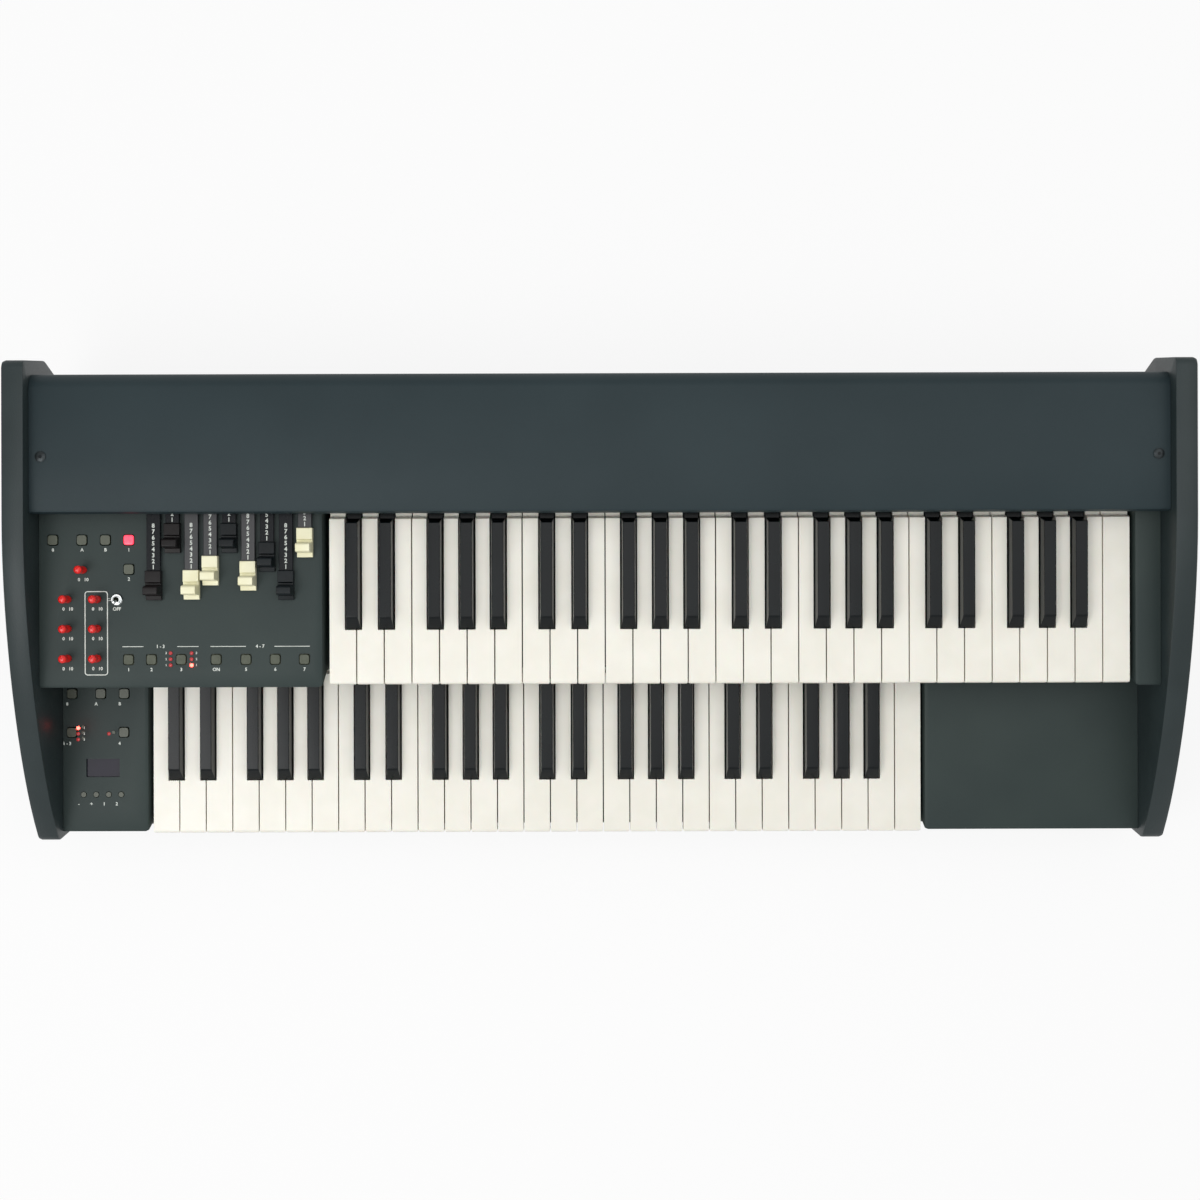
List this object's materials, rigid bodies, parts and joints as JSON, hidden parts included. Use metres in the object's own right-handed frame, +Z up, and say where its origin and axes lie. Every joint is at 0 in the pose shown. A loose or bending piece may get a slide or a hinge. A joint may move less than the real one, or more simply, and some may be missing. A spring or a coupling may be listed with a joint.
{
  "type": "spinet organ",
  "caption": "Portable two-manual drawbar organ in charcoal, offset manuals with waterfall keys, red rotary controls and a small display.",
  "frame": {"origin": "under the middle of the case, at the table", "axes": "+X to the player's right, +Y away from the player, +Z up"},
  "size_m": [0.99, 0.4162, 0.192],
  "materials": {
    "cheek": "fine textured charcoal paint over the shaped side boards",
    "panel": "fine textured charcoal paint",
    "natural": "ivory white, smooth",
    "sharp": "glossy black",
    "steel": "plain sheet",
    "knob": "glossy red",
    "chrome": "bright",
    "cream": "cream",
    "black": "black",
    "brown": "dark brown",
    "button": "grey green translucent",
    "board": "green laminate",
    "display": "dark glass",
    "foot": "black rubber"
  },
  "bodies": {
    "case": {"left_cheek": "cheek", "right_cheek": "cheek", "base_pan": "panel", "rear_panel": "panel", "top_lid": "panel", "upper_panel": "panel", "lower_panel": "panel", "blank_panel": "panel", "upper_end_block": "panel", "upper_keybed": "steel", "lower_keybed": "steel", "upper_naturals": "natural", "upper_sharps": "sharp", "lower_naturals": "natural", "lower_sharps": "sharp", "drawbar_housing": "steel", "display_module": "display", "main_board": "board", "upper_control_board": "board", "lower_control_board": "board", "foot_front_left": "foot", "foot_front_right": "foot", "foot_rear_left": "foot", "foot_rear_right": "foot"},
    "drawbar_1_body": {"drawbar_1": "brown"},
    "drawbar_2_body": {"drawbar_2": "brown"},
    "drawbar_3_body": {"drawbar_3": "cream"},
    "drawbar_4_body": {"drawbar_4": "cream"},
    "drawbar_5_body": {"drawbar_5": "black"},
    "drawbar_6_body": {"drawbar_6": "cream"},
    "drawbar_7_body": {"drawbar_7": "black"},
    "drawbar_8_body": {"drawbar_8": "black"},
    "drawbar_9_body": {"drawbar_9": "cream"},
    "volume_knob_body": {"volume_knob": "knob"},
    "click_knob_body": {"click_knob": "knob"},
    "level_knob_body": {"level_knob": "knob"},
    "percussion_volume_knob_body": {"percussion_volume_knob": "knob"},
    "overdrive_knob_body": {"overdrive_knob": "knob"},
    "assignable_knob_body": {"assignable_knob": "knob"},
    "tone_knob_body": {"tone_knob": "knob"},
    "toggle_lever_body": {"toggle_lever": "chrome"},
    "key_c_body": {"key_c": "natural"},
    "key_c_sharp_body": {"key_c_sharp": "sharp"},
    "key_d_body": {"key_d": "natural"},
    "key_d_sharp_body": {"key_d_sharp": "sharp"},
    "key_e_body": {"key_e": "natural"},
    "key_f_body": {"key_f": "natural"},
    "key_f_sharp_body": {"key_f_sharp": "sharp"},
    "key_g_body": {"key_g": "natural"},
    "key_g_sharp_body": {"key_g_sharp": "sharp"},
    "key_a_body": {"key_a": "natural"},
    "key_a_sharp_body": {"key_a_sharp": "sharp"},
    "key_b_body": {"key_b": "natural"},
    "vibrato_upper_button_body": {"vibrato_upper_button": "button"},
    "vibrato_lower_button_body": {"vibrato_lower_button": "button"},
    "vibrato_type_button_body": {"vibrato_type_button": "button"},
    "percussion_on_button_body": {"percussion_on_button": "button"},
    "percussion_soft_button_body": {"percussion_soft_button": "button"},
    "percussion_fast_button_body": {"percussion_fast_button": "button"},
    "percussion_third_button_body": {"percussion_third_button": "button"}
  },
  "joints": [
    {"name": "drawbar_1_slide", "type": "slide", "parent": "case", "child": "drawbar_1_body", "axis": [0, -1, 0], "range_m": [-0.04, 0]},
    {"name": "drawbar_2_slide", "type": "slide", "parent": "case", "child": "drawbar_2_body", "axis": [0, -1, 0], "range_m": [0, 0.04]},
    {"name": "drawbar_3_slide", "type": "slide", "parent": "case", "child": "drawbar_3_body", "axis": [0, -1, 0], "range_m": [-0.0395, 0.0005]},
    {"name": "drawbar_4_slide", "type": "slide", "parent": "case", "child": "drawbar_4_body", "axis": [0, -1, 0], "range_m": [-0.0275, 0.0125]},
    {"name": "drawbar_5_slide", "type": "slide", "parent": "case", "child": "drawbar_5_body", "axis": [0, -1, 0], "range_m": [0, 0.04]},
    {"name": "drawbar_6_slide", "type": "slide", "parent": "case", "child": "drawbar_6_body", "axis": [0, -1, 0], "range_m": [-0.032, 0.008]},
    {"name": "drawbar_7_slide", "type": "slide", "parent": "case", "child": "drawbar_7_body", "axis": [0, -1, 0], "range_m": [-0.016, 0.024]},
    {"name": "drawbar_8_slide", "type": "slide", "parent": "case", "child": "drawbar_8_body", "axis": [0, -1, 0], "range_m": [-0.04, 0]},
    {"name": "drawbar_9_slide", "type": "slide", "parent": "case", "child": "drawbar_9_body", "axis": [0, -1, 0], "range_m": [-0.004, 0.036]},
    {"name": "volume_knob_turn", "type": "hinge", "parent": "case", "child": "volume_knob_body", "pos_m": [-0.4383, 0.0285, 0.149], "axis": [0, 0, 1], "range_deg": [-150, 150]},
    {"name": "click_knob_turn", "type": "hinge", "parent": "case", "child": "click_knob_body", "pos_m": [-0.4515, 0.0036, 0.149], "axis": [0, 0, 1], "range_deg": [-150, 150]},
    {"name": "level_knob_turn", "type": "hinge", "parent": "case", "child": "level_knob_body", "pos_m": [-0.4264, 0.0036, 0.149], "axis": [0, 0, 1], "range_deg": [-150, 150]},
    {"name": "percussion_volume_knob_turn", "type": "hinge", "parent": "case", "child": "percussion_volume_knob_body", "pos_m": [-0.4515, -0.0214, 0.149], "axis": [0, 0, 1], "range_deg": [-150, 150]},
    {"name": "overdrive_knob_turn", "type": "hinge", "parent": "case", "child": "overdrive_knob_body", "pos_m": [-0.4264, -0.0214, 0.149], "axis": [0, 0, 1], "range_deg": [-150, 150]},
    {"name": "assignable_knob_turn", "type": "hinge", "parent": "case", "child": "assignable_knob_body", "pos_m": [-0.4515, -0.0466, 0.149], "axis": [0, 0, 1], "range_deg": [-150, 150]},
    {"name": "tone_knob_turn", "type": "hinge", "parent": "case", "child": "tone_knob_body", "pos_m": [-0.4264, -0.0466, 0.149], "axis": [0, 0, 1], "range_deg": [-150, 150]},
    {"name": "toggle_tilt", "type": "hinge", "parent": "case", "child": "toggle_lever_body", "pos_m": [-0.4097, 0.0032, 0.1495], "axis": [1, 0, 0], "range_deg": [-24, 0]},
    {"name": "key_c_rock", "type": "hinge", "parent": "case", "child": "key_c_body", "pos_m": [0, 0.1118, 0.1295], "axis": [1, 0, 0], "range_deg": [0, 3.2], "stiffness_Nm_per_rad": 1, "springref_deg": -9.17},
    {"name": "key_c_sharp_rock", "type": "hinge", "parent": "case", "child": "key_c_sharp_body", "pos_m": [0, 0.1118, 0.1295], "axis": [1, 0, 0], "range_deg": [0, 3.2], "stiffness_Nm_per_rad": 1, "springref_deg": -9.17},
    {"name": "key_d_rock", "type": "hinge", "parent": "case", "child": "key_d_body", "pos_m": [0, 0.1118, 0.1295], "axis": [1, 0, 0], "range_deg": [0, 3.2], "stiffness_Nm_per_rad": 1, "springref_deg": -9.17},
    {"name": "key_d_sharp_rock", "type": "hinge", "parent": "case", "child": "key_d_sharp_body", "pos_m": [0, 0.1118, 0.1295], "axis": [1, 0, 0], "range_deg": [0, 3.2], "stiffness_Nm_per_rad": 1, "springref_deg": -9.17},
    {"name": "key_e_rock", "type": "hinge", "parent": "case", "child": "key_e_body", "pos_m": [0, 0.1118, 0.1295], "axis": [1, 0, 0], "range_deg": [0, 3.2], "stiffness_Nm_per_rad": 1, "springref_deg": -9.17},
    {"name": "key_f_rock", "type": "hinge", "parent": "case", "child": "key_f_body", "pos_m": [0, 0.1118, 0.1295], "axis": [1, 0, 0], "range_deg": [0, 3.2], "stiffness_Nm_per_rad": 1, "springref_deg": -9.17},
    {"name": "key_f_sharp_rock", "type": "hinge", "parent": "case", "child": "key_f_sharp_body", "pos_m": [0, 0.1118, 0.1295], "axis": [1, 0, 0], "range_deg": [0, 3.2], "stiffness_Nm_per_rad": 1, "springref_deg": -9.17},
    {"name": "key_g_rock", "type": "hinge", "parent": "case", "child": "key_g_body", "pos_m": [0, 0.1118, 0.1295], "axis": [1, 0, 0], "range_deg": [0, 3.2], "stiffness_Nm_per_rad": 1, "springref_deg": -9.17},
    {"name": "key_g_sharp_rock", "type": "hinge", "parent": "case", "child": "key_g_sharp_body", "pos_m": [0, 0.1118, 0.1295], "axis": [1, 0, 0], "range_deg": [0, 3.2], "stiffness_Nm_per_rad": 1, "springref_deg": -9.17},
    {"name": "key_a_rock", "type": "hinge", "parent": "case", "child": "key_a_body", "pos_m": [0, 0.1118, 0.1295], "axis": [1, 0, 0], "range_deg": [0, 3.2], "stiffness_Nm_per_rad": 1, "springref_deg": -9.17},
    {"name": "key_a_sharp_rock", "type": "hinge", "parent": "case", "child": "key_a_sharp_body", "pos_m": [0, 0.1118, 0.1295], "axis": [1, 0, 0], "range_deg": [0, 3.2], "stiffness_Nm_per_rad": 1, "springref_deg": -9.17},
    {"name": "key_b_rock", "type": "hinge", "parent": "case", "child": "key_b_body", "pos_m": [0, 0.1118, 0.1295], "axis": [1, 0, 0], "range_deg": [0, 3.2], "stiffness_Nm_per_rad": 1, "springref_deg": -9.17},
    {"name": "vibrato_upper_button_press", "type": "slide", "parent": "case", "child": "vibrato_upper_button_body", "axis": [0, 0, -1], "range_m": [0, 0.001], "stiffness_N_per_m": 300, "springref_m": -0.002},
    {"name": "vibrato_lower_button_press", "type": "slide", "parent": "case", "child": "vibrato_lower_button_body", "axis": [0, 0, -1], "range_m": [0, 0.001], "stiffness_N_per_m": 300, "springref_m": -0.002},
    {"name": "vibrato_type_button_press", "type": "slide", "parent": "case", "child": "vibrato_type_button_body", "axis": [0, 0, -1], "range_m": [0, 0.001], "stiffness_N_per_m": 300, "springref_m": -0.002},
    {"name": "percussion_on_button_press", "type": "slide", "parent": "case", "child": "percussion_on_button_body", "axis": [0, 0, -1], "range_m": [0, 0.001], "stiffness_N_per_m": 300, "springref_m": -0.002},
    {"name": "percussion_soft_button_press", "type": "slide", "parent": "case", "child": "percussion_soft_button_body", "axis": [0, 0, -1], "range_m": [0, 0.001], "stiffness_N_per_m": 300, "springref_m": -0.002},
    {"name": "percussion_fast_button_press", "type": "slide", "parent": "case", "child": "percussion_fast_button_body", "axis": [0, 0, -1], "range_m": [0, 0.001], "stiffness_N_per_m": 300, "springref_m": -0.002},
    {"name": "percussion_third_button_press", "type": "slide", "parent": "case", "child": "percussion_third_button_body", "axis": [0, 0, -1], "range_m": [0, 0.001], "stiffness_N_per_m": 300, "springref_m": -0.002}
  ]
}
